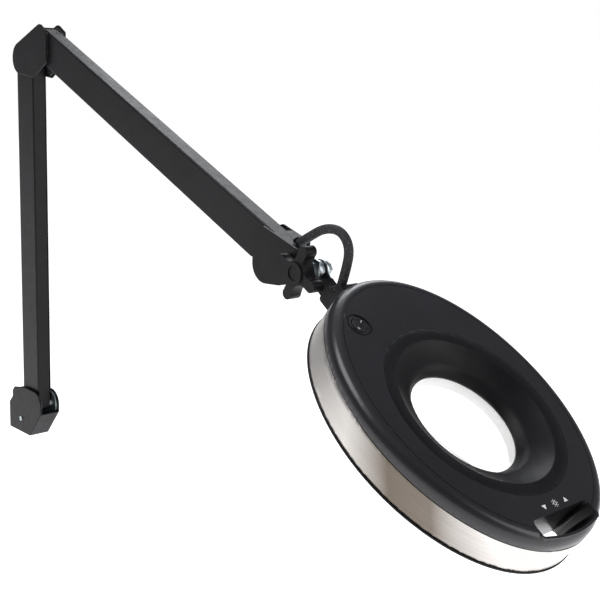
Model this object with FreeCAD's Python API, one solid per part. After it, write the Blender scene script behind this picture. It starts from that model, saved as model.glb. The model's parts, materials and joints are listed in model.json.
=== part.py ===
import FreeCAD, Part

import math
import os

# Spring-balanced magnifying lamp, in millimetres and degrees.
# Origin: mouth of the post socket under the base, +Z up, +X from the arm towards the head.
# The lamp's mid-plane is Y = 0 and its controls are on the -Y side of the arm.

V = FreeCAD.Vector

# ---------------------------------------------------------------- driving dimensions

# Post socket for a 12.7 mm (half inch) mounting post
SOCKET_BORE_R = 6.4
SOCKET_DEPTH = 30.0
SOCKET_R = 11.0
SOCKET_HEIGHT = 34.0

# Sheet-steel arms: an outer channel and an inner link make a parallelogram
CHANNEL_WIDTH = 22.1
CHANNEL_DEPTH = 45.6
CHANNEL_SHEET = 1.8
CHANNEL_BACK = 18.4          # main pivot to the back of the channel
CHANNEL_OVERHANG = 10.0      # cheek length past the main pivot
CHEEK_SETBACK = 19.6         # full-depth cheek starts this far from the pivot
CHEEK_NOTCH = 5.5            # cheek front beside the pivot
LINK_WIDTH = 17.7
LINK_SHEET = 1.6
LINK_BACK = 5.5              # link pivot to the open edge of its flanges
LINK_FRONT = 5.2             # link pivot to the face of its web
LINK_OVERHANG = 8.5
PIVOT_GAP = 21.0             # main pivot to link pivot in every bracket
LOWER_LENGTH = 515.0         # pivot to pivot
UPPER_LENGTH = 537.0
UPPER_ANGLE = -24.65         # upper arm below the horizontal

# Pivots
MAIN_PIN_R = 4.0
LINK_PIN_R = 3.0
RUNNING = 0.05               # radial clearance of a turning fit
SNUG = 0.02                  # radial clearance of a fixed fit
BRACKET_INNER = 11.6         # half width between bracket cheeks
BRACKET_SHEET = 2.0
COVER_GAP = 0.2
COVER_WALL = 2.2

# Pivot places in the X-Z plane
BASE_MAIN = (23.6, 52.0)
ELBOW_UPPER = (78.0, 589.0)

# Tilt joint between arm end and head
TILT = (635.0, 348.0)
TILT_BOLT_R = 4.0
KNOB_R = 32.5
KNOB_START = 65.0            # direction of the first knob lobe

# Head
HEAD_X = 855.3
HEAD_Z = 249.1
HEAD_PITCH = 35.8            # handle end below the horizontal
HEAD_ROLL = -2.35            # head turned on its neck pin
PIN_DROP = 38.0              # neck pin below the head's top face
BEZEL_R = 101.4
BOWL_RIM_R = 88.0
BOWL_FOOT_R = 65.4
LENS_VIEW_R = 59.0
LENS_R = 63.5                # 127 mm (5 inch) lens
LENS_EDGE = 3.0
LENS_SAG = 5.5
HEAD_BOTTOM = -48.5
EGG = (149.1, -12.0, 14.1, -1.1, 1.0)    # outline radius as a cosine series about the lens

# Flex between arm end and head: route points in the X-Z plane and radius
FLEX_ROUTE = [(604.5, 373.5), (621.5, 383.5), (643.0, 394.5), (667.0, 395.0),
              (681.0, 379.0), (677.0, 354.5), (668.8, 331.8)]
FLEX_R = 5.2

BASE_LINK = (BASE_MAIN[0] + PIVOT_GAP, BASE_MAIN[1])
ELBOW_LOWER = (BASE_MAIN[0], BASE_MAIN[1] + LOWER_LENGTH)
ELBOW_LOWER_LINK = (ELBOW_LOWER[0] + PIVOT_GAP, ELBOW_LOWER[1])
ELBOW_UPPER_LINK = (ELBOW_UPPER[0], ELBOW_UPPER[1] - PIVOT_GAP)
UPPER_COS = math.cos(math.radians(UPPER_ANGLE))
UPPER_SIN = math.sin(math.radians(UPPER_ANGLE))
END_MAIN = (ELBOW_UPPER[0] + UPPER_LENGTH * UPPER_COS, ELBOW_UPPER[1] + UPPER_LENGTH * UPPER_SIN)
END_LINK = (END_MAIN[0], END_MAIN[1] - PIVOT_GAP)
BRACKET_OUTER = BRACKET_INNER + BRACKET_SHEET
COVER_INNER = BRACKET_OUTER + COVER_GAP
COVER_OUTER = COVER_INNER + COVER_WALL
FAR = 2000.0

PARTS = {}


# ---------------------------------------------------------------- helpers

def keep(node, *solids):
    """Store solids under a node name; several solids stay separate in one node."""
    flat = [solid for shape in solids for solid in shape.Solids]
    PARTS[node] = flat[0] if len(flat) == 1 else Part.makeCompound(flat)


def outline(corners):
    """Closed wire in the X-Z plane through (x, z) or (x, z, radius) corners."""
    points = [V(corner[0], 0, corner[1]) for corner in corners]
    edges = []
    start = None
    last = None
    for i, corner in enumerate(corners):
        here = points[i]
        radius = corner[2] if len(corner) > 2 else 0
        before = (points[i - 1] - here).normalize()
        after = (points[(i + 1) % len(points)] - here).normalize()
        if radius:
            half = before.getAngle(after) / 2
            reach = radius / math.tan(half)
            arc_in = here + before * reach
            arc_out = here + after * reach
            middle = here + (before + after).normalize() * (radius / math.sin(half) - radius)
        else:
            arc_in = here
            arc_out = here
        if last is None:
            start = arc_in
        elif (arc_in - last).Length > 1e-6:
            edges.append(Part.LineSegment(last, arc_in).toShape())
        if radius:
            edges.append(Part.Arc(arc_in, middle, arc_out).toShape())
        last = arc_out
    if (start - last).Length > 1e-6:
        edges.append(Part.LineSegment(last, start).toShape())
    return Part.Wire(edges)


def slab(corners, y_low, y_high):
    """A plate in the X-Z plane between two Y values."""
    face = Part.Face(outline(corners))
    face.translate(V(0, y_low, 0))
    return face.extrude(V(0, y_high - y_low, 0))


def plan(corners, z_low, z_high):
    """A plate in the X-Y plane between two Z values."""
    flat = slab(corners, -z_high, -z_low)
    flat.rotate(V(0, 0, 0), V(1, 0, 0), -90)
    return flat


def block(x_low, x_high, y_low, y_high, z_low, z_high):
    return Part.makeBox(x_high - x_low, y_high - y_low, z_high - z_low, V(x_low, y_low, z_low))


def rod(centre, y_low, y_high, radius):
    """A cylinder along Y about an (x, z) centre."""
    return Part.makeCylinder(radius, y_high - y_low, V(centre[0], y_low, centre[1]), V(0, 1, 0))


def ring(centre, y_low, y_high, outer, inner):
    return rod(centre, y_low, y_high, outer).cut(rod(centre, y_low, y_high, inner))


def post(x, y, z_low, z_high, radius):
    """A cylinder along Z."""
    return Part.makeCylinder(radius, z_high - z_low, V(x, y, z_low))


def collar(z_low, z_high, outer, inner):
    """A ring about the Z axis."""
    return post(0, 0, z_low, z_high, outer).cut(post(0, 0, z_low, z_high, inner))


def hexagon(centre, y_low, y_high, across_flats):
    """A hexagonal head or nut along Y."""
    radius = across_flats / math.sqrt(3)
    turns = [math.radians(60 * i) for i in range(6)]
    return slab([(centre[0] + radius * math.cos(t), centre[1] + radius * math.sin(t)) for t in turns],
                y_low, y_high)


def mirrored(shape):
    return shape.mirror(V(0, 0, 0), V(0, 1, 0))


def both_sides(shape):
    return [shape, mirrored(shape)]


def frame(origin, along, side):
    """Placement whose local X runs along the arm and local Z to the given side."""
    across = side.cross(along)
    matrix = FreeCAD.Matrix(along.x, across.x, side.x, origin[0],
                            along.y, across.y, side.y, 0,
                            along.z, across.z, side.z, origin[1],
                            0, 0, 0, 1)
    return FreeCAD.Placement(matrix)


def placed(shape, placement):
    moved = shape.copy()
    moved.Placement = placement.multiply(moved.Placement)
    return moved


def tube(points, radius):
    """A round tube on straight runs joined by tangent arcs; prints the arc radii."""
    edges = []
    radii = []
    last = points[0]
    for before, here, after in zip(points, points[1:], points[2:]):
        back = before - here
        onward = after - here
        run = min(back.Length, onward.Length)
        back.normalize()
        onward.normalize()
        half = back.getAngle(onward) / 2
        reach = 0.45 * run
        arc_radius = reach * math.tan(half)
        arc_in = here + back * reach
        arc_out = here + onward * reach
        middle = here + (back + onward).normalize() * (arc_radius / math.sin(half) - arc_radius)
        edges.append(Part.LineSegment(last, arc_in).toShape())
        edges.append(Part.Arc(arc_in, middle, arc_out).toShape())
        radii.append(round(arc_radius, 1))
        last = arc_out
    edges.append(Part.LineSegment(last, points[-1]).toShape())
    path = Part.Wire(edges)
    profile = Part.Wire(Part.Circle(points[0], points[1] - points[0], radius).toShape())
    solid = path.makePipeShell([profile], True, False)
    expected = math.pi * radius ** 2 * path.Length
    print("tube length %.1f, radii %s, volume ratio %.4f" % (path.Length, radii, solid.Volume / expected))
    return solid


LOWER_FRAME = frame(BASE_MAIN, V(0, 0, 1), V(1, 0, 0))
UPPER_FRAME = frame(ELBOW_UPPER, V(UPPER_COS, 0, UPPER_SIN), V(UPPER_SIN, 0, -UPPER_COS))
TILT_FRAME = FreeCAD.Placement(V(HEAD_X, 0, HEAD_Z), FreeCAD.Rotation(V(0, 1, 0), HEAD_PITCH))
PIN_AXIS = V(0, 0, -PIN_DROP)
HEAD_FRAME = TILT_FRAME.multiply(FreeCAD.Placement(V(0, 0, 0), FreeCAD.Rotation(V(1, 0, 0), HEAD_ROLL), PIN_AXIS))


# ---------------------------------------------------------------- arms

def channel(length):
    """Outer channel in the arm's frame: X along the arm, Z from its back to its open side."""
    back = -CHANNEL_BACK
    front = CHANNEL_DEPTH - CHANNEL_BACK
    half = CHANNEL_WIDTH / 2
    cheek = [(-CHANNEL_OVERHANG, back, 8), (length + CHANNEL_OVERHANG, back, 8),
             (length + CHANNEL_OVERHANG, CHEEK_NOTCH, 6), (length - CHEEK_SETBACK, CHEEK_NOTCH, 2),
             (length - CHEEK_SETBACK, front, 3), (CHEEK_SETBACK, front, 3),
             (CHEEK_SETBACK, CHEEK_NOTCH, 2), (-CHANNEL_OVERHANG, CHEEK_NOTCH, 6)]
    solid = slab(cheek, -half, half)
    folds = [edge for edge in solid.Edges
             if edge.BoundBox.ZMax < back + 0.01 and edge.BoundBox.XLength > length / 2]
    solid = solid.makeFillet(CHANNEL_SHEET + 0.6, folds)
    inside = half - CHANNEL_SHEET
    solid = solid.cut(block(-FAR, FAR, -inside, inside, back + CHANNEL_SHEET, FAR))
    for start, end in ((-FAR, 0), (length, FAR)):
        solid = solid.cut(block(start, end, -inside, inside, -FAR, 0))
    for x in (0, length):
        solid = solid.cut(rod((x, 0), -half, half, MAIN_PIN_R + RUNNING))
    return solid


def link(length):
    """Inner link channel, with its pivot at the local origin."""
    half = LINK_WIDTH / 2
    solid = slab([(-LINK_OVERHANG, -LINK_BACK, 4), (length + LINK_OVERHANG, -LINK_BACK, 4),
                  (length + LINK_OVERHANG, LINK_FRONT, 4), (-LINK_OVERHANG, LINK_FRONT, 4)], -half, half)
    inside = half - LINK_SHEET
    solid = solid.cut(block(-FAR, FAR, -inside, inside, -FAR, LINK_FRONT - LINK_SHEET))
    for x in (0, length):
        solid = solid.cut(rod((x, 0), -half, half, LINK_PIN_R + 2 * RUNNING))
    return solid


SPRING_R = 4.2
SPRING_WIRE_R = 0.9
SPRING_DEPTH = -10.5         # spring axis, towards the channel's back
SPRING_START = 62.0
SPRING_END = 130.0           # spring end to the far pivot
SPRING_PIN_R = 1.9


def springs(length):
    """Two balance springs side by side, each a closed tube with a straight hook at both ends."""
    solids = []
    for y in (-4.5, 4.5):
        body = Part.makeCylinder(SPRING_R, length - SPRING_START - SPRING_END,
                                 V(SPRING_START, y, SPRING_DEPTH), V(1, 0, 0))
        bore = Part.makeCylinder(SPRING_R - 2 * SPRING_WIRE_R, length - SPRING_START - SPRING_END - 4,
                                 V(SPRING_START + 2, y, SPRING_DEPTH), V(1, 0, 0))
        solid = body.cut(bore)
        for start, end in ((SPRING_START - 22, SPRING_START + 1), (length - SPRING_END - 1, length - 60)):
            hook = Part.makeCylinder(SPRING_WIRE_R, end - start, V(start, y, SPRING_DEPTH), V(1, 0, 0))
            solid = solid.fuse(hook)
        solids.append(solid)
    return solids


def spring_pins(length):
    """Cross pins in the channel that the springs hook on."""
    half = CHANNEL_WIDTH / 2 - CHANNEL_SHEET
    return [rod((x, SPRING_DEPTH), -half, half, SPRING_PIN_R)
            for x in (SPRING_START - 22 - SPRING_PIN_R, length - 60 + SPRING_PIN_R)]


def arm(name, placement, length, link_offset):
    """One arm: channel, springs, pins and cable ride together; the link turns on its own pivot."""
    keep(name + "_channel", placed(channel(length), placement))
    keep(name + "_springs", *[placed(solid, placement) for solid in springs(length)])
    keep(name + "_spring_pins", *[placed(solid, placement) for solid in spring_pins(length)])
    cable = Part.makeCylinder(3.0, length - 90, V(45, 0, -1.0), V(1, 0, 0))
    keep(name + "_cable", placed(cable, placement))
    link_solid = link(length)
    link_solid.translate(V(link_offset[0], 0, link_offset[1]))
    keep(name + "_link", placed(link_solid, placement))


# ---------------------------------------------------------------- pivots and covers

def spacers(centre):
    """Nylon washers beside the channel cheeks on a main pivot."""
    near = ring(centre, -BRACKET_INNER + 0.05, -CHANNEL_WIDTH / 2 - 0.05, 7.5, MAIN_PIN_R + RUNNING)
    return both_sides(near)


def bushes(centre):
    """Bushes that centre the link between the bracket cheeks."""
    near = ring(centre, -BRACKET_INNER + 0.05, -LINK_WIDTH / 2 - 0.1, 4.3, LINK_PIN_R + RUNNING)
    return both_sides(near)


def pivot_set(name, mains, links):
    """Pins riveted flush into both cheeks of one bracket, and the spacers on them."""
    pins = [rod(centre, -BRACKET_OUTER, BRACKET_OUTER, MAIN_PIN_R) for centre in mains]
    pins += [rod(centre, -BRACKET_OUTER, BRACKET_OUTER, LINK_PIN_R) for centre in links]
    keep(name + "_pivot_pins", *pins)
    rings = [solid for centre in mains for solid in spacers(centre)]
    rings += [solid for centre in links for solid in bushes(centre)]
    keep(name + "_pivot_washers", *rings)


def bracket_cheek(corners, mains, links):
    """The -Y side plate of a bracket with its pin holes."""
    plate = slab(corners, -BRACKET_OUTER, -BRACKET_INNER)
    for centre in mains:
        plate = plate.cut(rod(centre, -FAR, FAR, MAIN_PIN_R + SNUG))
    for centre in links:
        plate = plate.cut(rod(centre, -FAR, FAR, LINK_PIN_R + SNUG))
    return plate


def cover(corners, wall_corners):
    """The -Y half of a clamshell: a side plate, and a rim wall up to the mid-plane seam.

    wall_corners is the region inside the outline that the rim wall leaves hollow; it runs out
    of the outline where the housing is open."""
    plate = slab(corners, -COVER_OUTER, -COVER_INNER)
    wall = slab(corners, -COVER_INNER, -0.1).cut(slab(wall_corners, -COVER_OUTER, 0))
    return plate.fuse(wall)


def keep_covers(name, corners, wall_corners):
    near = cover(corners, wall_corners)
    edges = [edge for edge in near.Edges if edge.BoundBox.YMax < -COVER_OUTER + 0.01]
    near = near.makeFillet(1.2, edges)
    keep(name + "_cover_near", near)
    keep(name + "_cover_far", mirrored(near))


# ---------------------------------------------------------------- base

BASE_OUTLINE = [(-31.0, 0.0, 2), (31.0, 0.0, 3), (65.6, 42.0, 8), (66.1, 73.5, 21), (19.0, 74.5, 30),
                (-15.0, 68.0, 4), (-20.8, 61.5, 3), (-20.8, 52.0, 2), (-31.0, 41.0, 3)]
BASE_HOLLOW = [(-28.8, 2.2, 2), (30.0, 2.2, 2), (62.6, 41.6), (90.0, 41.6), (90.0, 90.0),
               (-12.0, 90.0), (-18.6, 61.0), (-18.6, 51.0, 2), (-28.8, 40.0, 2)]
BASE_CHEEK = [(-26.0, 4.5, 3), (29.0, 4.5, 3), (61.0, 43.0, 8), (64.6, 71.5, 19), (19.0, 71.5, 20),
              (-14.0, 64.0, 4), (-18.0, 50.0, 4), (-26.0, 39.0, 3)]
SET_SCREW = (6.5, 22.0)


def base():
    keep_covers("base", BASE_OUTLINE, BASE_HOLLOW)
    socket = post(0, 0, 0, SOCKET_HEIGHT, SOCKET_R).cut(post(0, 0, 0, SOCKET_DEPTH, SOCKET_BORE_R))
    keep("base_socket", socket)
    for name in ("base_cover_near", "base_cover_far"):
        keep(name, PARTS[name].cut(post(0, 0, -1, 4, SOCKET_R + 0.1)))
    near = bracket_cheek(BASE_CHEEK, [BASE_MAIN], [BASE_LINK])
    floor = block(-22, 26, -BRACKET_INNER - 0.5, BRACKET_INNER + 0.5, 5.0, 8.0)
    seat = post(0, 0, 0, SOCKET_HEIGHT, SOCKET_R)
    keep("base_bracket", near.fuse(mirrored(near)).fuse(floor).cut(seat))
    pivot_set("base", [BASE_MAIN], [BASE_LINK])
    screw = rod(SET_SCREW, -COVER_OUTER - 1.6, -COVER_OUTER, 3.4)
    screw = screw.fuse(rod(SET_SCREW, -COVER_OUTER, -SOCKET_R - 0.3, 1.9))
    slot = block(SET_SCREW[0] - 4, SET_SCREW[0] + 4, -COVER_OUTER - 1.6, -COVER_OUTER - 0.9,
                 SET_SCREW[1] - 0.45, SET_SCREW[1] + 0.45)
    near_screw = screw.cut(slot)
    keep("base_cover_screws", *both_sides(near_screw))
    hole = rod(SET_SCREW, -FAR, FAR, 1.95)
    for name in ("base_cover_near", "base_cover_far", "base_bracket"):
        keep(name, PARTS[name].cut(hole))
    inlet_axis = V(1, 0, 0)
    inlet = Part.makeCylinder(6.0, 7.0, V(-32.6, 0, 20.0), inlet_axis)
    inlet = inlet.fuse(Part.makeCylinder(7.5, 1.6, V(-32.6, 0, 20.0), inlet_axis))
    inlet = inlet.cut(Part.makeCylinder(3.2, 7.0, V(-32.6, 0, 20.0), inlet_axis))
    keep("mains_inlet_bush", inlet)
    inlet_hole = Part.makeCylinder(6.0, 8.0, V(-34.0, 0, 20.0), inlet_axis)
    for name in ("base_cover_near", "base_cover_far"):
        keep(name, PARTS[name].cut(inlet_hole))


# ---------------------------------------------------------------- elbow

ELBOW_OUTLINE = [(2.1, 545.5, 21.5), (2.1, 581.0, 21.5), (79.6, 613.6, 12), (97.8, 602.8, 3),
                 (97.8, 561.0, 3), (61.0, 539.0, 3)]
ELBOW_HOLLOW = [(-20.0, 520.0), (-20.0, 566.0), (4.3, 566.0), (4.3, 579.6, 18), (67.5, 606.1), (67.5, 625.0),
                (120.0, 625.0), (120.0, 520.0)]
ELBOW_WALL_FOOT = 577.5      # the rear wall starts above the sweep of the lower channel's back
ELBOW_CHEEK = [(6.5, 549.5, 17), (6.5, 579.0, 17), (79.0, 609.0, 11), (95.0, 600.5, 3),
               (95.0, 563.0, 3), (60.5, 542.5, 3)]
ELBOW_TIE = (50.0, 590.5)


def elbow():
    keep_covers("elbow", ELBOW_OUTLINE, ELBOW_HOLLOW)
    sweep = block(-10, 40, -COVER_INNER, COVER_INNER, 500, ELBOW_WALL_FOOT)
    for name in ("elbow_cover_near", "elbow_cover_far"):
        keep(name, PARTS[name].cut(sweep))
    mains = [ELBOW_LOWER, ELBOW_UPPER]
    links = [ELBOW_LOWER_LINK, ELBOW_UPPER_LINK]
    near = bracket_cheek(ELBOW_CHEEK, mains, links)
    tie = rod(ELBOW_TIE, -BRACKET_INNER - 0.5, BRACKET_INNER + 0.5, 3.8)
    keep("elbow_bracket", near.fuse(mirrored(near)).fuse(tie))
    pivot_set("elbow", mains, links)


# ---------------------------------------------------------------- arm end

END_OUTLINE = [(544.5, 322.5, 21.5), (544.5, 380.0, 10), (560.0, 388.6, 8), (627.4, 366.4, 1.5),
               (609.0, 330.5, 5), (590.0, 325.5, 10)]
END_FAR_OUTLINE = [(544.5, 322.5, 21.5), (544.5, 380.0, 10), (560.0, 388.6, 8), (605.0, 373.8, 2),
                   (600.0, 329.0, 6), (590.0, 325.5, 10)]
END_HOLLOW = [(500.0, 300.0), (500.0, 400.0), (577.0, 400.0), (577.0, 380.7), (640.0, 360.0), (640.0, 300.0)]
END_TOP_EDGE = 606.5         # front edge of the covers' top wall
END_CHEEK = [(549.0, 327.0, 16.5), (549.0, 378.0, 8), (562.0, 384.5, 8), (602.0, 371.5, 3),
             (598.0, 331.0, 6), (590.0, 328.5, 8)]
EAR = [(575.0, 376.5), (606.0, 368.5), (620.0, 370.0), (650.5, 360.5, 0.8), (648.0, 335.0, 12.5),
       (622.0, 335.0, 10), (600.0, 337.0)]
END_TIE = (590.0, 350.0)
FLEX_BUSH_R = FLEX_R + 1.8
FLEX_START = V(FLEX_ROUTE[0][0], 0, FLEX_ROUTE[0][1])
FLEX_RISE = (V(FLEX_ROUTE[1][0], 0, FLEX_ROUTE[1][1]) - FLEX_START).normalize()


def arm_end():
    near = cover(END_OUTLINE, END_HOLLOW).cut(block(END_TOP_EDGE, FAR, -COVER_INNER, 0, -FAR, FAR))
    far = mirrored(cover(END_FAR_OUTLINE, END_HOLLOW))
    flex_way = Part.makeCylinder(FLEX_BUSH_R + 0.1, 60, FLEX_START - FLEX_RISE * 25, FLEX_RISE)
    keep("end_cover_near", near.cut(flex_way))
    keep("end_cover_far", far.cut(flex_way))
    cheek = slab(END_CHEEK, -BRACKET_OUTER, -BRACKET_INNER)
    ear = slab(EAR, -BRACKET_OUTER, -BRACKET_INNER)
    tie = rod(END_TIE, -BRACKET_INNER - 0.5, BRACKET_INNER + 0.5, 3.8)
    bracket = cheek.fuse(ear).fuse(mirrored(cheek)).fuse(tie)
    for centre, radius in ((END_MAIN, MAIN_PIN_R), (END_LINK, LINK_PIN_R), (TILT, TILT_BOLT_R)):
        bracket = bracket.cut(rod(centre, -FAR, FAR, radius + SNUG))
    keep("end_bracket", bracket)
    pivot_set("end", [END_MAIN], [END_LINK])
    bush = Part.makeCylinder(FLEX_BUSH_R, 9, FLEX_START - FLEX_RISE * 9, FLEX_RISE)
    strap = block(590, 598, -BRACKET_INNER, BRACKET_INNER, 362.5, 366.0)
    keep("flex_bush", bush.fuse(strap))


# ---------------------------------------------------------------- tilt joint

TONGUE_LOW = -1.5
TONGUE_HIGH = 2.5
BAR_LOW = -8.5
BAR_HIGH = 5.5
KNOB_BACK = -17.0
KNOB_FRONT = -37.0
KNOB_HUB_R = 12.0
LOBE_R = 6.5
VALLEY_OUT = 26.5             # centre and radius of the hollow between two lobes
VALLEY_R = 13.0
INSERT_R = 6.5
INSERT_DEPTH = 12.0


def star_knob():
    """Four-lobe clamping knob on the tilt axis."""
    body = rod((0, 0), KNOB_FRONT + 2.0, KNOB_BACK - 3.0, KNOB_R - 9.0)
    for lobe in range(4):
        turn = math.radians(KNOB_START + 90 * lobe)
        tip = ((KNOB_R - LOBE_R) * math.cos(turn), (KNOB_R - LOBE_R) * math.sin(turn))
        body = body.fuse(rod(tip, KNOB_FRONT + 2.0, KNOB_BACK - 3.0, LOBE_R))
    for gap in range(4):
        turn = math.radians(KNOB_START + 45 + 90 * gap)
        valley = (VALLEY_OUT * math.cos(turn), VALLEY_OUT * math.sin(turn))
        body = body.cut(rod(valley, -FAR, FAR, VALLEY_R))
    knob = body.fuse(rod((0, 0), KNOB_FRONT, KNOB_BACK, KNOB_HUB_R))
    knob = knob.cut(rod((0, 0), KNOB_BACK - INSERT_DEPTH, KNOB_BACK, INSERT_R))
    knob = knob.cut(rod((0, 0), KNOB_FRONT, KNOB_FRONT + 1.2, KNOB_HUB_R - 4.0))
    knob.translate(V(TILT[0], 0, TILT[1]))
    return knob


def tilt_joint():
    keep("tilt_knob", star_knob())
    keep("tilt_knob_insert", ring(TILT, KNOB_BACK - INSERT_DEPTH, KNOB_BACK, INSERT_R, TILT_BOLT_R + RUNNING))
    bolt = rod(TILT, KNOB_BACK - 10.0, 9.6, TILT_BOLT_R).fuse(hexagon(TILT, 9.6, 15.0, 13.0))
    keep("tilt_bolt", bolt)
    bore = TILT_BOLT_R + SNUG
    hub_washer = ring(TILT, KNOB_BACK + 0.1, -BRACKET_OUTER, 11.0, bore)
    ear_washer = ring(TILT, -BRACKET_INNER, -9.4, 11.0, bore)
    ear_spacer = ring(TILT, -9.4, TONGUE_LOW - 0.05, 12.0, bore)
    far_spacer = ring(TILT, TONGUE_HIGH + 0.05, 7.4, 12.0, bore)
    spring_washer = ring(TILT, 7.4, 9.6, 10.5, bore)
    keep("tilt_washers", hub_washer, ear_washer, ear_spacer, far_spacer, spring_washer)


# ---------------------------------------------------------------- neck

NECK_TONGUE = [(-237.0, -39.7), (-205.0, -46.0), (-205.0, -61.0), (-237.0, -57.7)]
NECK_BAR = [(-222.0, -44.0, 4), (-205.0, -45.0), (-205.0, -61.5), (-222.0, -60.0, 4)]
NECK_BLOCK = [(-208.0, -43.0, 2), (-196.0, -43.0), (-196.0, -28.0, 3), (-182.5, -28.0, 2),
              (-182.5, -62.0, 3), (-208.0, -62.0, 4)]
NECK_BLOCK_HALF = 13.0
NECK_EYE_R = 9.0
PIN_R = 6.0
PIN_BORE_R = 3.2
PIN_START = -192.0
PIN_STOP = -149.5
GLAND_R = 6.8
GLAND_LENGTH = 8.0
FLEX_END = V(FLEX_ROUTE[-1][0], 0, FLEX_ROUTE[-1][1])
FLEX_DROP = (FLEX_END - V(FLEX_ROUTE[-2][0], 0, FLEX_ROUTE[-2][1])).normalize()
X_AXIS = V(1, 0, 0)


def neck():
    """Tilting neck, drawn in the head's frame before its roll."""
    eye = TILT_FRAME.inverse().multVec(V(TILT[0], 0, TILT[1]))
    body = slab(NECK_BAR, BAR_LOW, BAR_HIGH).fuse(slab(NECK_TONGUE, TONGUE_LOW, TONGUE_HIGH))
    body = body.fuse(rod((eye.x, eye.z), TONGUE_LOW, TONGUE_HIGH, NECK_EYE_R))
    body = body.fuse(slab(NECK_BLOCK, -NECK_BLOCK_HALF, NECK_BLOCK_HALF))
    body = body.cut(rod((eye.x, eye.z), -FAR, FAR, TILT_BOLT_R + RUNNING))
    body = body.cut(Part.makeCylinder(PIN_R + SNUG, 30, V(PIN_START, 0, -PIN_DROP), X_AXIS))
    body = placed(body, TILT_FRAME)
    body = body.cut(Part.makeCylinder(FLEX_R + 0.6, 30, FLEX_END, FLEX_DROP * -1))
    keep("neck", body.cut(Part.makeCylinder(GLAND_R + SNUG, GLAND_LENGTH, FLEX_END, FLEX_DROP)))
    gland = Part.makeCylinder(GLAND_R, GLAND_LENGTH, FLEX_END, FLEX_DROP)
    keep("neck_gland", gland)
    length = PIN_STOP - PIN_START
    pin = Part.makeCylinder(PIN_R, length, V(PIN_START, 0, -PIN_DROP), X_AXIS)
    pin = pin.fuse(Part.makeCylinder(PIN_R + 1.5, 2.3, V(PIN_STOP - 2.3, 0, -PIN_DROP), X_AXIS))
    pin = pin.cut(Part.makeCylinder(PIN_BORE_R, length, V(PIN_START, 0, -PIN_DROP), X_AXIS))
    keep("neck_pin", placed(pin, TILT_FRAME))
    route = [V(x, 0, z) for x, z in FLEX_ROUTE]
    keep("cable_loop", tube(route, FLEX_R))


# ---------------------------------------------------------------- head

EGG_STATIONS = 24
SHELL_WALL = 3.0
SHELL_EDGE = -15.0
LIP_ROUNDING = 10.0
GROOVE_INSET = 13.0
BEZEL_SEAT = -3.0
LEDGE_FOOT = -5.5
LENS_TOP = -25.6
SKIRT_FOOT = -32.9
BOARD_THICKNESS = 1.6
COVER_TOP = -46.0
BAND_SHEET = 0.9
WINDOW_R = 98.0
RETAINER_R = 63.9
LED_COUNT = 48
LED_CIRCLE_R = 84.0
SWITCH_AT = (-118.0, -67.0)
SWITCH_TURN = -49.0
ROCKER_R = 8.2
ROCKER_AXIS = -5.0
ROCKER_REST = 7.0
# Handle opening: inner edge, half width, outer corner and outer middle
HANDLE_TOP = (121.0, 44.0, 137.5, 147.5)
HANDLE_FOOT = (121.0, 41.0, 129.5, 139.5)
HANDLE_WALL = 2.2
SCREW_PLACES = [(50, 118), (100, 118), (140, 125), (-50, 118), (-100, 118), (-140, 125)]


def egg_wire(inset, z):
    """The head's outline in plan, moved inwards by inset."""
    points = []
    for i in range(EGG_STATIONS):
        turn = 2 * math.pi * i / EGG_STATIONS
        radius = sum(size * math.cos(order * turn) for order, size in enumerate(EGG)) - inset
        points.append(V(radius * math.cos(turn), radius * math.sin(turn), z))
    curve = Part.BSplineCurve()
    curve.interpolate(Points=points, PeriodicFlag=True)
    return Part.Wire(curve.toShape())


def egg_plate(inset, z_low, z_high):
    return Part.Face(egg_wire(inset, z_low)).extrude(V(0, 0, z_high - z_low))


def egg_ring(outer_inset, inner_inset, z_low, z_high):
    return egg_plate(outer_inset, z_low, z_high).cut(egg_plate(inner_inset, z_low, z_high))


def rounded_egg(inset, z_low, z_high, rounding):
    plate = egg_plate(inset, z_low, z_high)
    rim = [edge for edge in plate.Edges if edge.BoundBox.ZMin > z_high - 0.01]
    return plate.makeFillet(rounding, rim)


def handle_wire(size, wall, z):
    inner, half, corner, middle = size
    wire = outline([(inner - wall, -half - wall, 4 + wall), (corner + wall, -half - wall, 3 + wall),
                    (middle + wall, 0, 150), (corner + wall, half + wall, 3 + wall),
                    (inner - wall, half + wall, 4 + wall)])
    wire.translate(V(0, -z, 0))
    wire.rotate(V(0, 0, 0), V(1, 0, 0), -90)
    return wire


def handle_loft(wall):
    """The handle opening through the head, widened by wall on every side."""
    return Part.makeLoft([handle_wire(HANDLE_FOOT, wall, HEAD_BOTTOM), handle_wire(HANDLE_TOP, wall, 0)],
                         True, True)


def screw_axes():
    return [(radius * math.cos(math.radians(turn)), radius * math.sin(math.radians(turn)))
            for turn, radius in SCREW_PLACES]


def revolved(edges):
    return Part.Face(Part.Wire(edges)).revolve(V(0, 0, 0), V(0, 0, 1), 360)


def segments(points):
    """Straight edges through (radius, z) points."""
    vectors = [V(radius, 0, z) for radius, z in points]
    return [Part.LineSegment(a, b).toShape() for a, b in zip(vectors, vectors[1:])]


def bezel_ring():
    bowl = Part.Arc(V(BOWL_RIM_R, 0, -0.8), V(76.0, 0, -9.2), V(BOWL_FOOT_R, 0, -14.0)).toShape()
    rest = segments([(BOWL_FOOT_R, -14.0), (LENS_VIEW_R, -22.8), (LENS_VIEW_R, LENS_TOP + 1),
                     (64.0, LENS_TOP + 1), (64.0, SKIRT_FOOT), (73.0, SKIRT_FOOT), (73.0, SKIRT_FOOT + 2),
                     (66.2, SKIRT_FOOT + 2), (66.2, -16.5), (88.5, BEZEL_SEAT), (BEZEL_R, BEZEL_SEAT),
                     (BEZEL_R, 0), (BOWL_RIM_R, -0.8)])
    return revolved([bowl] + rest)


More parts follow.
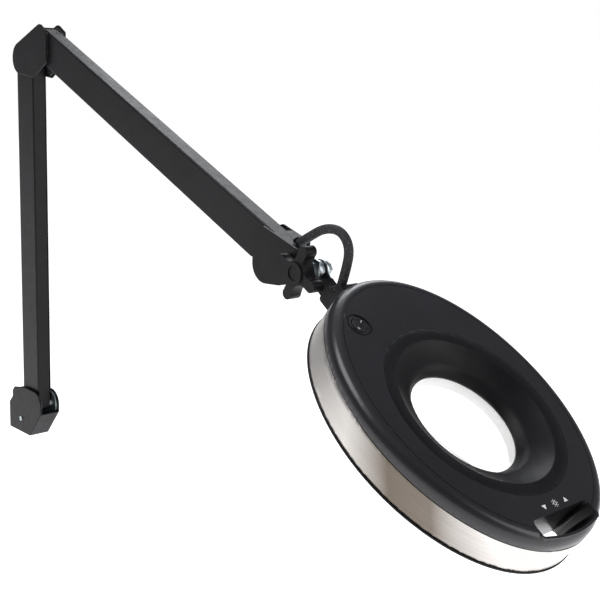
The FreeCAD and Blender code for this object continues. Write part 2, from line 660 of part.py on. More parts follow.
def lens():
    """Biconvex lens with a flat rim."""
    rim_r = LENS_VIEW_R + 0.2
    top = LENS_TOP
    foot = LENS_TOP - LENS_EDGE
    bend = (rim_r ** 2 + LENS_SAG ** 2) / (2 * LENS_SAG)
    half = rim_r / 2
    drop = bend - math.sqrt(bend ** 2 - half ** 2)
    apex = top + LENS_SAG
    nadir = foot - LENS_SAG
    upper = Part.Arc(V(0, 0, apex), V(half, 0, apex - drop), V(rim_r, 0, top)).toShape()
    lower = Part.Arc(V(rim_r, 0, foot), V(half, 0, nadir + drop), V(0, 0, nadir)).toShape()
    side = segments([(rim_r, top), (LENS_R, top), (LENS_R, foot), (rim_r, foot)])
    return revolved([upper] + side + [lower] + segments([(0, nadir), (0, apex)]))


def top_shell():
    shell = rounded_egg(0, SHELL_EDGE, 0, LIP_ROUNDING)
    shell = shell.cut(rounded_egg(SHELL_WALL, SHELL_EDGE, -SHELL_WALL, LIP_ROUNDING - SHELL_WALL))
    shell = shell.fuse(egg_ring(0.8, SHELL_WALL + 0.1, SHELL_EDGE - 4, SHELL_EDGE))
    shell = shell.fuse(post(0, 0, LEDGE_FOOT, BEZEL_SEAT + 0.2, 105.0))
    shell = shell.fuse(handle_loft(HANDLE_WALL))
    for x, y in screw_axes():
        shell = shell.fuse(post(x, y, COVER_TOP, -SHELL_WALL + 0.2, 4.0))
        shell = shell.cut(post(x, y, COVER_TOP, COVER_TOP + 14, 1.5 + SNUG))
    shell = shell.fuse(post(SWITCH_AT[0], SWITCH_AT[1], -5.0, -SHELL_WALL + 0.2, 16.0))
    shell = shell.cut(post(SWITCH_AT[0], SWITCH_AT[1], -2.0, 0, 14.2))
    shell = shell.cut(post(SWITCH_AT[0], SWITCH_AT[1], -FAR, 0, 10.0))
    shell = shell.cut(handle_loft(0))
    shell = shell.cut(post(0, 0, BEZEL_SEAT, 0, BEZEL_R + 0.3))
    shell = shell.cut(post(0, 0, -FAR, 0, 96.0))
    return shell.cut(egg_ring(GROOVE_INSET - 0.4, GROOVE_INSET + 0.4, -0.6, 0))


def bottom_cover():
    plate = egg_plate(-1.6, HEAD_BOTTOM, COVER_TOP)
    rim = [edge for edge in plate.Edges if edge.BoundBox.ZMax < HEAD_BOTTOM + 0.01]
    plate = plate.makeFillet(1.2, rim)
    plate = plate.fuse(egg_ring(0.8, SHELL_WALL, COVER_TOP, COVER_TOP + 4))
    plate = plate.fuse(collar(COVER_TOP, COVER_TOP + 2.5, 104.0, 101.3))
    for x in (DRIVER_X - 14, DRIVER_X + 14):
        for y in (-24, 24):
            plate = plate.fuse(post(x, y, COVER_TOP, DRIVER_Z, 3.0))
    plate = plate.cut(handle_loft(HANDLE_WALL + 0.1))
    plate = plate.cut(post(0, 0, -FAR, 0, WINDOW_R))
    for x, y in screw_axes():
        plate = plate.cut(post(x, y, -FAR, 0, 1.5 + SNUG))
        plate = plate.cut(post(x, y, HEAD_BOTTOM, HEAD_BOTTOM + 1.5, 3.1))
    return plate.cut(Part.makeCylinder(8.5, 60, V(-200, 0, -PIN_DROP), X_AXIS))


def steel_band():
    band = egg_ring(-BAND_SHEET / 2, BAND_SHEET / 2, COVER_TOP + 0.1, SHELL_EDGE - 0.3)
    return band.cut(Part.makeCylinder(8.0, 60, V(-200, 0, -PIN_DROP), X_AXIS))


def head_screws():
    screws = []
    for x, y in screw_axes():
        shank = post(x, y, HEAD_BOTTOM + 0.3, COVER_TOP + 12, 1.5)
        cap = post(x, y, HEAD_BOTTOM + 0.1, HEAD_BOTTOM + 1.5, 2.9)
        recess = block(x - 0.4, x + 0.4, y - 1.8, y + 1.8, HEAD_BOTTOM, HEAD_BOTTOM + 0.9)
        recess = recess.fuse(block(x - 1.8, x + 1.8, y - 0.4, y + 0.4, HEAD_BOTTOM, HEAD_BOTTOM + 0.9))
        screws.append(shank.fuse(cap).cut(recess))
    return screws


DRIVER_X = -127.0
DRIVER_Z = -24.0


def driver_parts():
    """Inductor, capacitor, controller chip, regulator and connector on the driver board."""
    top = DRIVER_Z + BOARD_THICKNESS
    inductor = block(DRIVER_X - 12, DRIVER_X - 2, -20, -10, top, top + 6)
    capacitor = post(DRIVER_X - 8, 10, top, top + 12, 5.0)
    chip = block(DRIVER_X + 4, DRIVER_X + 9, -14, -8, top, top + 1.6)
    regulator = block(DRIVER_X + 3, DRIVER_X + 10, 0, 7, top, top + 2.2)
    connector = block(DRIVER_X + 6, DRIVER_X + 14, 12, 22, top, top + 7)
    return [inductor, capacitor, chip, regulator, connector]


def leds():
    solids = []
    for i in range(LED_COUNT):
        low = SKIRT_FOOT - BOARD_THICKNESS - 0.9
        led = block(LED_CIRCLE_R - 1.4, LED_CIRCLE_R + 1.4, -1.75, 1.75, low, low + 0.9)
        led.rotate(V(0, 0, 0), V(0, 0, 1), i * 360 / LED_COUNT)
        solids.append(led)
    return solids


ICON_X = 113.6
ICON_THICKNESS = 0.12


def touch_icons():
    """Dimming triangles and a sun symbol printed over the touch pads."""
    more = plan([(ICON_X - 2.6, 17.0), (ICON_X + 2.2, 20.0), (ICON_X + 2.2, 14.0)], 0, ICON_THICKNESS)
    less = plan([(ICON_X + 2.6, -16.0), (ICON_X - 2.2, -19.0), (ICON_X - 2.2, -13.0)], 0, ICON_THICKNESS)
    sun = collar(0, ICON_THICKNESS, 2.0, 1.4)
    for i in range(8):
        ray = block(2.6, 4.0, -0.3, 0.3, 0, ICON_THICKNESS)
        ray.rotate(V(0, 0, 0), V(0, 0, 1), 45 * i)
        sun = Part.makeCompound([sun, ray])
    sun.translate(V(ICON_X, 0.6, 0))
    return [more, less] + sun.Solids


def switch():
    """Round rocker switch in its own frame: X from the I end to the O end."""
    frame_here = HEAD_FRAME.multiply(FreeCAD.Placement(V(SWITCH_AT[0], SWITCH_AT[1], 0),
                                                       FreeCAD.Rotation(V(0, 0, 1), SWITCH_TURN)))
    bezel = collar(-2.0, -0.6, 11.5, 8.9).fuse(collar(-16.0, -0.6, 9.9, 8.9))
    keep("switch_bezel", placed(bezel, frame_here))
    body = post(0, 0, -16.0, -9.5, 8.85)
    for y in (-4.0, 4.0):
        body = body.fuse(block(-0.4, 0.4, y - 2.4, y + 2.4, -23.0, -16.0))
    keep("switch_body", placed(body, frame_here))
    paddle = slab([(-ROCKER_R, -7.0), (-ROCKER_R, 1.6, 0.8), (0, -0.6, 12), (ROCKER_R, 1.6, 0.8),
                   (ROCKER_R, -7.0)], -ROCKER_R, ROCKER_R)
    paddle = paddle.common(post(0, 0, -8.0, 3.0, ROCKER_R))
    rest = frame_here.multiply(FreeCAD.Placement(V(0, 0, 0), FreeCAD.Rotation(V(0, 1, 0), ROCKER_REST),
                                                 V(0, 0, ROCKER_AXIS)))
    keep("switch_rocker", placed(paddle, rest))
    slope = math.degrees(math.atan2(2.2, ROCKER_R))
    marks = []
    for side, mark in ((-1, block(-1.2, 1.2, -0.3, 0.3, 0, 0.12)), (1, collar(0, 0.12, 1.4, 1.0))):
        seat = FreeCAD.Placement(V(side * 5.0, 0, 0.75), FreeCAD.Rotation(V(0, 1, 0), -side * slope))
        marks.append(placed(mark, rest.multiply(seat)))
    keep("switch_marks", *marks)


def keep_head(node, *solids):
    keep(node, *[placed(solid, HEAD_FRAME) for solid in solids])


def head():
    keep_head("top_shell", top_shell())
    keep_head("bezel_ring", bezel_ring())
    keep_head("lens", lens())
    keep_head("lens_seal", collar(LENS_TOP, LENS_TOP + 1, 63.4, LENS_VIEW_R + 0.5))
    tube_part = collar(COVER_TOP, LENS_TOP - LENS_EDGE, RETAINER_R, 60.5)
    flange = collar(COVER_TOP - 1.5, COVER_TOP, 67.5, 60.5)
    keep_head("lens_retainer", tube_part.fuse(flange))
    keep_head("led_board", collar(SKIRT_FOOT - BOARD_THICKNESS, SKIRT_FOOT, 95.0, 66.8))
    keep_head("leds", *leds())
    keep_head("diffuser", collar(COVER_TOP, COVER_TOP + 1.5, 101.0, RETAINER_R + 0.2))
    keep_head("bottom_cover", bottom_cover())
    keep_head("steel_band", steel_band())
    board = block(DRIVER_X - 19, DRIVER_X + 19, -28, 28, DRIVER_Z, DRIVER_Z + BOARD_THICKNESS)
    keep_head("driver_board", board)
    keep_head("driver_parts", *driver_parts())
    keep_head("touch_board", block(106.0, 117.5, -26, 26, -SHELL_WALL - BOARD_THICKNESS, -SHELL_WALL))
    keep_head("touch_icons", *touch_icons())
    keep_head("head_screws", *head_screws())
    socket = block(-172, -152, -12, 12, COVER_TOP, -28)
    bore = Part.makeCylinder(PIN_R + RUNNING, 40, V(-180, 0, -PIN_DROP), X_AXIS)
    keep_head("neck_socket", socket.cut(bore))


for step in (base, elbow, arm_end, tilt_joint, neck, head, switch):
    step()
arm("lower", LOWER_FRAME, LOWER_LENGTH, (0.0, PIVOT_GAP))
arm("upper", UPPER_FRAME, UPPER_LENGTH, (-PIVOT_GAP * UPPER_SIN, PIVOT_GAP * UPPER_COS))

os.makedirs("parts", exist_ok=True)
for node, shape in PARTS.items():
    shape.exportStep("parts/%s.step" % node)
    print(node, len(shape.Solids), shape.isValid())
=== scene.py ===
import json
import math

import bpy
from mathutils import Matrix, Vector


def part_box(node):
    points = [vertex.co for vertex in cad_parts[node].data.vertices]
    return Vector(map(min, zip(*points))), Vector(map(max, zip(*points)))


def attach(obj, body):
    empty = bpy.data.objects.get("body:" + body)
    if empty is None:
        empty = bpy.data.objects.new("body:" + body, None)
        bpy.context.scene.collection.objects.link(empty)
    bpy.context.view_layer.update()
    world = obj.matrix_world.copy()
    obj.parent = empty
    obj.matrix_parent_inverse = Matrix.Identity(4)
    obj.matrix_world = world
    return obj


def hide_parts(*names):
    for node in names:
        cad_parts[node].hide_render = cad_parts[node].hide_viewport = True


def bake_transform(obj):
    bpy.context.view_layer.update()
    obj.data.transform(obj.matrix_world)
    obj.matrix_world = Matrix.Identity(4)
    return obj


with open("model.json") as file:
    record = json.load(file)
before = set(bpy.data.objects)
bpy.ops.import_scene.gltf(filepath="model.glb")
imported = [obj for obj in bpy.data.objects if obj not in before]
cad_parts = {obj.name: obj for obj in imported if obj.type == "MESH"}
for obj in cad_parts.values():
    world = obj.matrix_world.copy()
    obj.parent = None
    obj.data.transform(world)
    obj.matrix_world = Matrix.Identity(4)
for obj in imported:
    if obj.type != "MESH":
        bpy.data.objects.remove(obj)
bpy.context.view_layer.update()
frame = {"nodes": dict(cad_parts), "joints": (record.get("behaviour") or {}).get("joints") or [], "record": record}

NODES = frame["nodes"]
JOINTS = {joint["name"]: joint for joint in frame["joints"]}

# The head's long axis is the axis that it swivels about
HEAD_X = Vector(JOINTS["head_swivel"]["axis"])
HEAD_PITCH = math.atan2(-HEAD_X.z, HEAD_X.x)
UPPER_ANGLE = math.radians(-24.65)

# Balance springs: length over the hooks, coil radius, wire radius, offset from the mid-plane and hook length
UPPER_SPRING_LENGTH = 0.4150
COIL_R = 0.0034
WIRE_R = 0.0008
SPRING_OFFSET = 0.0045
HOOK = 0.022
STEPS_PER_TURN = 12

# Cable between arm end and head: control points (x, z) and radius
CABLE_ROUTE = [(0.6045, 0.3735), (0.6215, 0.3835), (0.6430, 0.3945), (0.6670, 0.3950),
               (0.6810, 0.3790), (0.6770, 0.3545), (0.6688, 0.3318)]
CABLE_R = 0.0052

FLOOR_SIZE = 14.0
FLOOR_HEIGHT = -0.45

# Camera: place, viewing direction, direction to its right and focal length in millimetres
EYE = (1.4406, -0.7859, 0.5456)
LOOK = (-0.712, 0.672, -0.201)
RIGHT = (0.681, 0.731, 0.032)
FOCAL_LENGTH = 63.8

# Bevel width of each CAD node in metres; 0 leaves the edges as they are
USUAL_SOFTNESS = 0.00025
EDGE_SOFTNESS = {
    "lower_channel": 0.0006, "upper_channel": 0.0006, "tilt_knob": 0.0018, "neck": 0.0011,
    "end_bracket": 0.0003, "lens": 0.0, "leds": 0.0, "touch_icons": 0.0, "switch_marks": 0.0,
    "head_screws": 0.0002, "lens_seal": 0.0, "led_board": 0.0, "steel_band": 0.0002,
}


# ---------------------------------------------------------------- material helpers

def new_material(name, colour, roughness, metallic=0.0):
    """A principled material, returned with a small toolbox for adding nodes to it."""
    material = bpy.data.materials.new(name)
    material.use_nodes = True
    tree = material.node_tree
    shader = tree.nodes["Principled BSDF"]
    shader.inputs["Base Color"].default_value = (*colour, 1)
    shader.inputs["Roughness"].default_value = roughness
    shader.inputs["Metallic"].default_value = metallic
    return material, tree, shader


def coordinates(tree, scale=(1, 1, 1), rotation=(0, 0, 0)):
    """Object coordinates in metres, turned into a local frame and then scaled."""
    source = tree.nodes.new("ShaderNodeTexCoord")
    turned = tree.nodes.new("ShaderNodeMapping")
    turned.vector_type = "TEXTURE"
    turned.inputs["Rotation"].default_value = rotation
    scaled = tree.nodes.new("ShaderNodeMapping")
    scaled.inputs["Scale"].default_value = scale
    tree.links.new(source.outputs["Object"], turned.inputs["Vector"])
    tree.links.new(turned.outputs["Vector"], scaled.inputs["Vector"])
    return scaled.outputs["Vector"]


def noise(tree, vector, scale, detail=3.0, roughness=0.5):
    """A 0-1 noise factor over the given coordinates."""
    node = tree.nodes.new("ShaderNodeTexNoise")
    node.inputs["Scale"].default_value = scale
    node.inputs["Detail"].default_value = detail
    node.inputs["Roughness"].default_value = roughness
    tree.links.new(vector, node.inputs["Vector"])
    return node.outputs["Fac"]


def ramp(tree, factor, stops):
    """A colour ramp through (position, colour) stops."""
    node = tree.nodes.new("ShaderNodeValToRGB")
    elements = node.color_ramp.elements
    while len(elements) < len(stops):
        elements.new(0.5)
    for element, (position, colour) in zip(elements, stops):
        element.position = position
        element.color = (*colour, 1)
    tree.links.new(factor, node.inputs["Fac"])
    return node.outputs["Color"]


def levels(tree, factor, low, high):
    """Maps a 0-1 factor to the range low to high."""
    node = tree.nodes.new("ShaderNodeMapRange")
    node.inputs["To Min"].default_value = low
    node.inputs["To Max"].default_value = high
    tree.links.new(factor, node.inputs["Value"])
    return node.outputs["Result"]


def bump(tree, shader, height, distance, under=None):
    """Raises the surface by distance where height is 1, on top of another bump if one is given."""
    node = tree.nodes.new("ShaderNodeBump")
    node.inputs["Distance"].default_value = distance
    node.inputs["Strength"].default_value = 1.0
    tree.links.new(height, node.inputs["Height"])
    if under is not None:
        tree.links.new(under, node.inputs["Normal"])
    tree.links.new(node.outputs["Normal"], shader.inputs["Normal"])
    return node.outputs["Normal"]


def moulded_plastic(name, dark, light, roughness, grain, depth, spread=0.08, specular=0.5):
    """Moulded plastic with a fine spark-eroded grain, cloudy tone and uneven sheen."""
    material, tree, shader = new_material(name, dark, roughness)
    shader.inputs["Specular IOR Level"].default_value = specular
    place = coordinates(tree)
    cloud = noise(tree, place, 22.0, 4.0, 0.6)
    tree.links.new(ramp(tree, cloud, [(0.3, dark), (0.7, light)]), shader.inputs["Base Color"])
    patch = noise(tree, place, 60.0, 5.0, 0.6)
    tree.links.new(levels(tree, patch, roughness - spread, roughness + spread), shader.inputs["Roughness"])
    fine = noise(tree, place, grain, 2.0, 0.6)
    bump(tree, shader, fine, depth)
    return material


def powder_coat(name, dark, light):
    """Satin powder coat: soft orange peel over sheet steel, with faint handling marks."""
    material, tree, shader = new_material(name, dark, 0.36)
    shader.inputs["Specular IOR Level"].default_value = 0.2
    place = coordinates(tree)
    cloud = noise(tree, place, 9.0, 5.0, 0.6)
    tree.links.new(ramp(tree, cloud, [(0.3, dark), (0.72, light)]), shader.inputs["Base Color"])
    rub = noise(tree, place, 75.0, 6.0, 0.65)
    tree.links.new(levels(tree, rub, 0.27, 0.5), shader.inputs["Roughness"])
    peel = noise(tree, place, 650.0, 2.0, 0.5)
    under = bump(tree, shader, peel, 0.00008)
    speck = noise(tree, place, 3200.0, 1.0, 0.5)
    bump(tree, shader, speck, 0.00002, under=under)
    return material


def polished_plastic(name, colour, roughness, haze):
    """Gloss moulding with faint swirl marks and dust in the sheen."""
    material, tree, shader = new_material(name, colour, roughness)
    place = coordinates(tree)
    swirl = noise(tree, place, 140.0, 8.0, 0.7)
    tree.links.new(levels(tree, swirl, roughness - haze, roughness + haze), shader.inputs["Roughness"])
    tone = noise(tree, place, 14.0, 3.0)
    lifted = tuple(1.5 * value for value in colour)
    tree.links.new(ramp(tree, tone, [(0.35, colour), (0.7, lifted)]), shader.inputs["Base Color"])
    wave = noise(tree, place, 25.0, 2.0)
    bump(tree, shader, wave, 0.00006)
    shader.inputs["Coat Weight"].default_value = 0.15
    shader.inputs["Coat Roughness"].default_value = 0.12
    return material


def plated_metal(name, colour, tint, roughness, lines=(300.0, 300.0, 300.0)):
    """Plated or turned metal: cloudy colour, tool marks and small stains."""
    material, tree, shader = new_material(name, colour, roughness, 1.0)
    place = coordinates(tree)
    cloud = noise(tree, place, 70.0, 5.0, 0.6)
    tree.links.new(ramp(tree, cloud, [(0.3, colour), (0.7, tint)]), shader.inputs["Base Color"])
    stain_and_painted_reflection = noise(tree, place, 260.0, 5.0, 0.7)
    tree.links.new(levels(tree, stain_and_painted_reflection, roughness - 0.1, roughness + 0.16), shader.inputs["Roughness"])
    marks = noise(tree, coordinates(tree, lines), 1.0, 3.0)
    bump(tree, shader, marks, 0.00003)
    return material


def brushed_band():
    """Stainless strip, brushed along its length, with a painted dark reflection zone towards the front."""
    material, tree, shader = new_material("brushed_band", (0.7, 0.68, 0.66), 0.3, 1.0)
    head_frame = (0, HEAD_PITCH, 0)
    long_lines = noise(tree, coordinates(tree, (7, 7, 5200), head_frame), 1.0, 4.0, 0.65)
    colour = ramp(tree, long_lines, [(0.25, (0.50, 0.48, 0.46)), (0.5, (0.70, 0.68, 0.66)),
                                     (0.75, (0.86, 0.85, 0.84))])
    # Painted reflection: a dark zone laid across the strip by object X, its edges wobbled by noise
    reflection_wobble = noise(tree, coordinates(tree, (9, 9, 9), head_frame), 1.0, 2.0)
    along = tree.nodes.new("ShaderNodeSeparateXYZ")
    tree.links.new(coordinates(tree), along.inputs["Vector"])
    stain_and_painted_reflection = tree.nodes.new("ShaderNodeMath")
    stain_and_painted_reflection.operation = "MULTIPLY_ADD"
    stain_and_painted_reflection.inputs[1].default_value = 0.03
    tree.links.new(reflection_wobble, stain_and_painted_reflection.inputs[0])
    tree.links.new(along.outputs["X"], stain_and_painted_reflection.inputs[2])
    place = tree.nodes.new("ShaderNodeMapRange")
    place.inputs["From Min"].default_value = 0.715
    place.inputs["From Max"].default_value = 0.995
    tree.links.new(stain_and_painted_reflection.outputs["Value"], place.inputs["Value"])
    # The dark middle of this ramp is the painted reflection, multiplied into the brushed colour
    tint = ramp(tree, place.outputs["Result"], [(0.42, (0.95, 0.94, 0.91)), (0.58, (0.22, 0.19, 0.16)),
                                                (0.72, (0.26, 0.23, 0.20)), (0.86, (0.98, 0.97, 0.95))])
    reflection_darkened = tree.nodes.new("ShaderNodeMix")
    reflection_darkened.data_type = "RGBA"
    reflection_darkened.blend_type = "MULTIPLY"
    reflection_darkened.inputs["Factor"].default_value = 1.0
    tree.links.new(colour, reflection_darkened.inputs["A"])
    tree.links.new(tint, reflection_darkened.inputs["B"])
    tree.links.new(reflection_darkened.outputs["Result"], shader.inputs["Base Color"])
    tree.links.new(levels(tree, long_lines, 0.22, 0.42), shader.inputs["Roughness"])
    bump(tree, shader, long_lines, 0.00003)
    shader.inputs["Anisotropic"].default_value = 0.5
    return material


def cable_sleeve():
    """Woven sleeve: two crossed sets of fine bands with a few paler threads."""
    material, tree, shader = new_material("cable_sleeve", (0.02, 0.02, 0.021), 0.62)
    heights = []
    for lean in (1.0, -1.0):
        wave = tree.nodes.new("ShaderNodeTexWave")
        wave.inputs["Scale"].default_value = 190.0
        wave.inputs["Distortion"].default_value = 0.6
        wave.bands_direction = "DIAGONAL"
        tree.links.new(coordinates(tree, (1.0, lean, lean)), wave.inputs["Vector"])
        heights.append(wave.outputs["Fac"])
    weave = tree.nodes.new("ShaderNodeMath")
    weave.operation = "MULTIPLY"
    tree.links.new(heights[0], weave.inputs[0])
    tree.links.new(heights[1], weave.inputs[1])
    bump(tree, shader, weave.outputs["Value"], 0.00035)
    fleck = noise(tree, coordinates(tree), 520.0, 3.0, 0.7)
    colour = ramp(tree, fleck, [(0.42, (0.012, 0.012, 0.013)), (0.6, (0.035, 0.035, 0.037)),
                                (0.72, (0.13, 0.13, 0.14))])
    tree.links.new(colour, shader.inputs["Base Color"])
    return material


def clear_glass():
    """Lens glass with a little dust; low refraction and a faint glow keep it evenly pale."""
    material, tree, shader = new_material("lens_glass", (0.99, 0.995, 0.99), 0.02)
    shader.inputs["Transmission Weight"].default_value = 1.0
    shader.inputs["IOR"].default_value = 1.3
    shader.inputs["Emission Color"].default_value = (1, 1, 1, 1)
    shader.inputs["Emission Strength"].default_value = 0.12
    dust = noise(tree, coordinates(tree), 90.0, 6.0, 0.7)
    tree.links.new(levels(tree, dust, 0.0, 0.05), shader.inputs["Roughness"])
    return material


def frosted_diffuser():
    """Milky plastic with fine prisms."""
    material, tree, shader = new_material("frosted_diffuser", (0.9, 0.9, 0.88), 0.5)
    shader.inputs["Transmission Weight"].default_value = 0.35
    place = coordinates(tree)
    prisms = noise(tree, place, 900.0, 2.0)
    bump(tree, shader, prisms, 0.0001)
    tone = noise(tree, place, 30.0, 3.0)
    colour = ramp(tree, tone, [(0.3, (0.86, 0.86, 0.84)), (0.7, (0.93, 0.93, 0.91))])
    tree.links.new(colour, shader.inputs["Base Color"])
    return material


def circuit_board(name, dark, light):
    """Solder mask with faint copper tracks under it."""
    material, tree, shader = new_material(name, dark, 0.35)
    cells = tree.nodes.new("ShaderNodeTexVoronoi")
    cells.feature = "DISTANCE_TO_EDGE"
    cells.inputs["Scale"].default_value = 260.0
    tree.links.new(coordinates(tree), cells.inputs["Vector"])
    colour = ramp(tree, cells.outputs["Distance"], [(0.06, light), (0.12, dark)])
    tree.links.new(colour, shader.inputs["Base Color"])
    bump(tree, shader, cells.outputs["Distance"], 0.00005)
    return material


MATERIALS = {
    "black_paint": powder_coat("black_paint", (0.0045, 0.0045, 0.005), (0.010, 0.010, 0.011)),
    "black_plastic": moulded_plastic("black_plastic", (0.0045, 0.0045, 0.005), (0.009, 0.009, 0.010),
                                     0.42, 2300.0, 0.00010, specular=0.18),
    "gloss_black": polished_plastic("gloss_black", (0.010, 0.010, 0.0115), 0.32, 0.06),
    "brushed_band": brushed_band(),
    "zinc": plated_metal("zinc", (0.44, 0.50, 0.52), (0.62, 0.67, 0.68), 0.3),
    "spring_steel": plated_metal("spring_steel", (0.34, 0.34, 0.35), (0.52, 0.52, 0.52), 0.34),
    "nylon": moulded_plastic("nylon", (0.74, 0.73, 0.68), (0.84, 0.83, 0.79), 0.5, 1500.0, 0.00005),
    "cable_sleeve": cable_sleeve(),
    "lens_glass": clear_glass(),
    "white_diffuser": frosted_diffuser(),
    "led_phosphor": moulded_plastic("led_phosphor", (0.90, 0.74, 0.30), (0.95, 0.86, 0.52),
                                    0.35, 2400.0, 0.00003),
    "white_board": circuit_board("white_board", (0.85, 0.85, 0.83), (0.74, 0.75, 0.74)),
    "green_board": circuit_board("green_board", (0.010, 0.10, 0.045), (0.03, 0.17, 0.08)),
    "electronics": moulded_plastic("electronics", (0.03, 0.03, 0.032), (0.06, 0.06, 0.062),
                                   0.5, 1800.0, 0.0001),
    "white_print": moulded_plastic("white_print", (0.82, 0.82, 0.83), (0.92, 0.92, 0.92),
                                   0.42, 2600.0, 0.00002),
    "brass": plated_metal("brass", (0.66, 0.47, 0.19), (0.78, 0.60, 0.30), 0.3),
    "soft_rubber": moulded_plastic("soft_rubber", (0.02, 0.02, 0.02), (0.035, 0.035, 0.035),
                                   0.65, 1400.0, 0.0001),
}
SLOTS = {part["node"]: part["material_slot"] for part in frame["record"]["subparts"]}


def dress(name):
    """Gives a CAD node its material and softens its sharp edges."""
    node = NODES[name]
    node.data.materials.clear()
    node.data.materials.append(MATERIALS[SLOTS[name]])
    width = EDGE_SOFTNESS.get(name, USUAL_SOFTNESS)
    if width:
        weld = node.modifiers.new("weld", "WELD")
        weld.merge_threshold = 0.000002
        bevel = node.modifiers.new("edges", "BEVEL")
        bevel.width = width
        bevel.segments = 2
        bevel.limit_method = "ANGLE"
        bevel.angle_limit = math.radians(35)
        bevel.harden_normals = True


for node_name in NODES:
    dress(node_name)


# ---------------------------------------------------------------- balance springs

def coil(name, start, end, body, node):
    """One close-wound spring from start to end, with a straight hook at both ends, as a curve."""
    start = Vector(start)
    end = Vector(end)
    along = (end - start).normalized()
    side = along.cross(Vector((0, 1, 0))).normalized()
    across = along.cross(side)
    length = (end - start).length
    turns = int((length - 2 * HOOK) / (2.25 * WIRE_R))
    path = [start, start + along * HOOK * 0.8]
    for i in range(turns * STEPS_PER_TURN + 1):
        turn = 2 * math.pi * i / STEPS_PER_TURN
        place = start + along * (HOOK + (length - 2 * HOOK) * i / (turns * STEPS_PER_TURN))
        path.append(place + (side * math.cos(turn) + across * math.sin(turn)) * COIL_R)
    path += [end - along * HOOK * 0.8, end]
    curve = bpy.data.curves.new(name, "CURVE")
    curve.dimensions = "3D"
    curve.bevel_depth = WIRE_R
    curve.bevel_resolution = 1
    spline = curve.splines.new("POLY")
    spline.points.add(len(path) - 1)
    for point, place in zip(spline.points, path):
        point.co = (*place, 1)
    spline.use_smooth = True
    spring = bpy.data.objects.new(name, curve)
    bpy.context.scene.collection.objects.link(spring)
    spring.data.materials.append(MATERIALS["spring_steel"])
    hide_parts(node)
    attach(spring, body)


def arm_springs(arm, direction, length):
    """Both springs of an arm, in the place of its spring node."""
    direction = Vector(direction)
    low, high = (Vector(corner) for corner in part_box(arm + "_springs"))
    centre = (low + high) / 2
    reach = length / 2
    for side in (-1, 1):
        middle = Vector((centre.x, side * SPRING_OFFSET, centre.z))
        coil("%s_spring_%s" % (arm, "near" if side < 0 else "far"), middle - direction * reach,
             middle + direction * reach, arm + "_arm", arm + "_springs")


lower_low, lower_high = (Vector(corner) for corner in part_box("lower_springs"))
arm_springs("lower", (0, 0, 1), lower_high.z - lower_low.z)
arm_springs("upper", (math.cos(UPPER_ANGLE), 0, math.sin(UPPER_ANGLE)), UPPER_SPRING_LENGTH)


# ---------------------------------------------------------------- cable between arm end and head

def cable_curve(name, radius):
    """The cable's line, or its skin when radius isn't 0, as a mesh."""
    curve = bpy.data.curves.new(name, "CURVE")
    curve.dimensions = "3D"
    curve.resolution_u = 16
    curve.bevel_depth = radius
    curve.bevel_resolution = 6
    spline = curve.splines.new("NURBS")
    spline.points.add(len(CABLE_ROUTE) - 1)
    for point, (x, z) in zip(spline.points, CABLE_ROUTE):
        point.co = (x, 0, z, 1)
    spline.order_u = 3
    spline.use_endpoint_u = True
    holder = bpy.data.objects.new(name, curve)
    bpy.context.scene.collection.objects.link(holder)
    bpy.context.view_layer.update()
    graph = bpy.context.evaluated_depsgraph_get()
    mesh = bpy.data.meshes.new_from_object(holder.evaluated_get(graph))
    bpy.data.objects.remove(holder)
    return mesh


def cable_loop():
    """The cable from the arm end to the head, curved past the tilt joint, as a fixed mesh."""
    line = [vertex.co.copy() for vertex in cable_curve("cable_line", 0).vertices]
    mesh = cable_curve("cable_skin", CABLE_R)
    for polygon in mesh.polygons:
        polygon.use_smooth = True
    cable = bpy.data.objects.new("cable", mesh)
    bpy.context.scene.collection.objects.link(cable)
    cable.data.materials.clear()
    cable.data.materials.append(MATERIALS["cable_sleeve"])
    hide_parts("cable_loop")
    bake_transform(cable)


cable_loop()


# ---------------------------------------------------------------- floor, light and camera

def floor():
    """A pale floor well below the lamp."""
    mesh = bpy.data.meshes.new("floor")
    corners = [(x * FLOOR_SIZE, y * FLOOR_SIZE, FLOOR_HEIGHT)
               for x, y in ((-1, -1), (1, -1), (1, 1), (-1, 1))]
    mesh.from_pydata(corners, [], [(0, 1, 2, 3)])
    plane = bpy.data.objects.new("floor", mesh)
    bpy.context.scene.collection.objects.link(plane)
    material, _, shader = new_material("pale_floor", (0.93, 0.93, 0.93), 0.85)
    shader.inputs["Emission Color"].default_value = (1, 1, 1, 1)
    shader.inputs["Emission Strength"].default_value = 0.9
    plane.data.materials.append(material)


def area_light(name, place, target, size, power, colour=(1, 1, 1)):
    """A rectangular soft light, aimed at target."""
    light = bpy.data.lights.new(name, "AREA")
    light.shape = "RECTANGLE"
    light.size = size[0]
    light.size_y = size[1]
    light.energy = power
    light.color = colour
    lamp = bpy.data.objects.new(name, light)
    lamp.location = place
    lamp.rotation_euler = (Vector(target) - Vector(place)).to_track_quat("-Z", "Y").to_euler()
    bpy.context.scene.collection.objects.link(lamp)


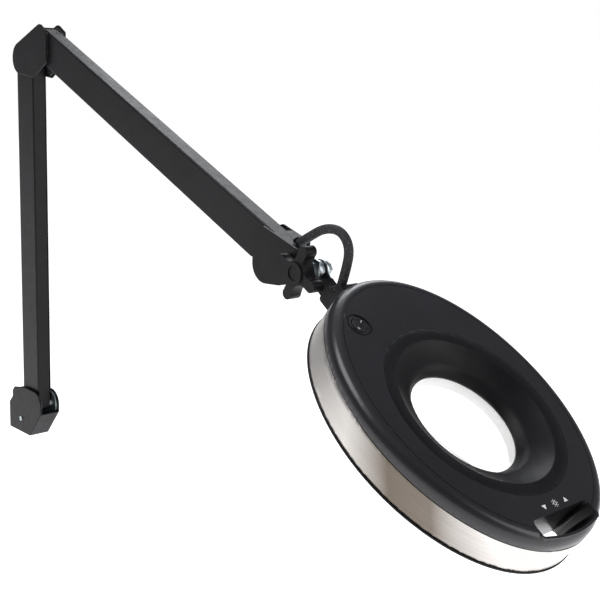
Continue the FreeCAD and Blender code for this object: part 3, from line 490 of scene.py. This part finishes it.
def camera():
    """Long lens from the front left, a little above the head."""
    forward = Vector(LOOK).normalized()
    right = Vector(RIGHT)
    right = (right - forward * right.dot(forward)).normalized()
    up = right.cross(forward)
    data = bpy.data.cameras.new("camera")
    data.lens = FOCAL_LENGTH
    data.sensor_width = 36.0
    data.clip_end = 100
    eye = bpy.data.objects.new("camera", data)
    basis = Matrix((right, up, -forward)).transposed().to_4x4()
    eye.matrix_world = Matrix.Translation(EYE) @ basis
    bpy.context.scene.collection.objects.link(eye)
    bpy.context.scene.camera = eye


def studio():
    """Plain white for the camera, and a dimmer gradient from low to high for light and reflections."""
    world = bpy.data.worlds.new("studio")
    world.use_nodes = True
    bpy.context.scene.world = world
    tree = world.node_tree
    backdrop = tree.nodes["Background"]
    backdrop.inputs["Color"].default_value = (1, 1, 1, 1)
    backdrop.inputs["Strength"].default_value = 1.0
    source = tree.nodes.new("ShaderNodeTexCoord")
    split = tree.nodes.new("ShaderNodeSeparateXYZ")
    tree.links.new(source.outputs["Generated"], split.inputs["Vector"])
    height = tree.nodes.new("ShaderNodeMapRange")
    height.inputs["From Min"].default_value = -1.0
    tree.links.new(split.outputs["Z"], height.inputs["Value"])
    bands = ramp(tree, height.outputs["Result"], [(0.0, (0.6, 0.6, 0.6)), (0.50, (0.36, 0.36, 0.37)),
                                                  (0.64, (0.24, 0.24, 0.26)), (0.78, (0.14, 0.14, 0.16)),
                                                  (0.90, (0.20, 0.20, 0.23)), (1.0, (0.5, 0.5, 0.55))])
    room = tree.nodes.new("ShaderNodeBackground")
    tree.links.new(bands, room.inputs["Color"])
    sight = tree.nodes.new("ShaderNodeLightPath")
    mix = tree.nodes.new("ShaderNodeMixShader")
    tree.links.new(sight.outputs["Is Camera Ray"], mix.inputs["Fac"])
    tree.links.new(room.outputs["Background"], mix.inputs[1])
    tree.links.new(backdrop.outputs["Background"], mix.inputs[2])
    tree.links.new(mix.outputs["Shader"], tree.nodes["World Output"].inputs["Surface"])


studio()
floor()
centre = (0.5, 0.0, 0.35)
area_light("key", (0.1, -1.2, 2.8), centre, (1.6, 1.6), 40)
area_light("back", (-0.85, 1.75, 2.0), centre, (1.4, 1.2), 22, (0.96, 0.97, 1.0))
area_light("side", (2.6, 1.2, 0.9), centre, (1.0, 1.8), 14)
bpy.context.scene.view_settings.view_transform = "Standard"
camera()
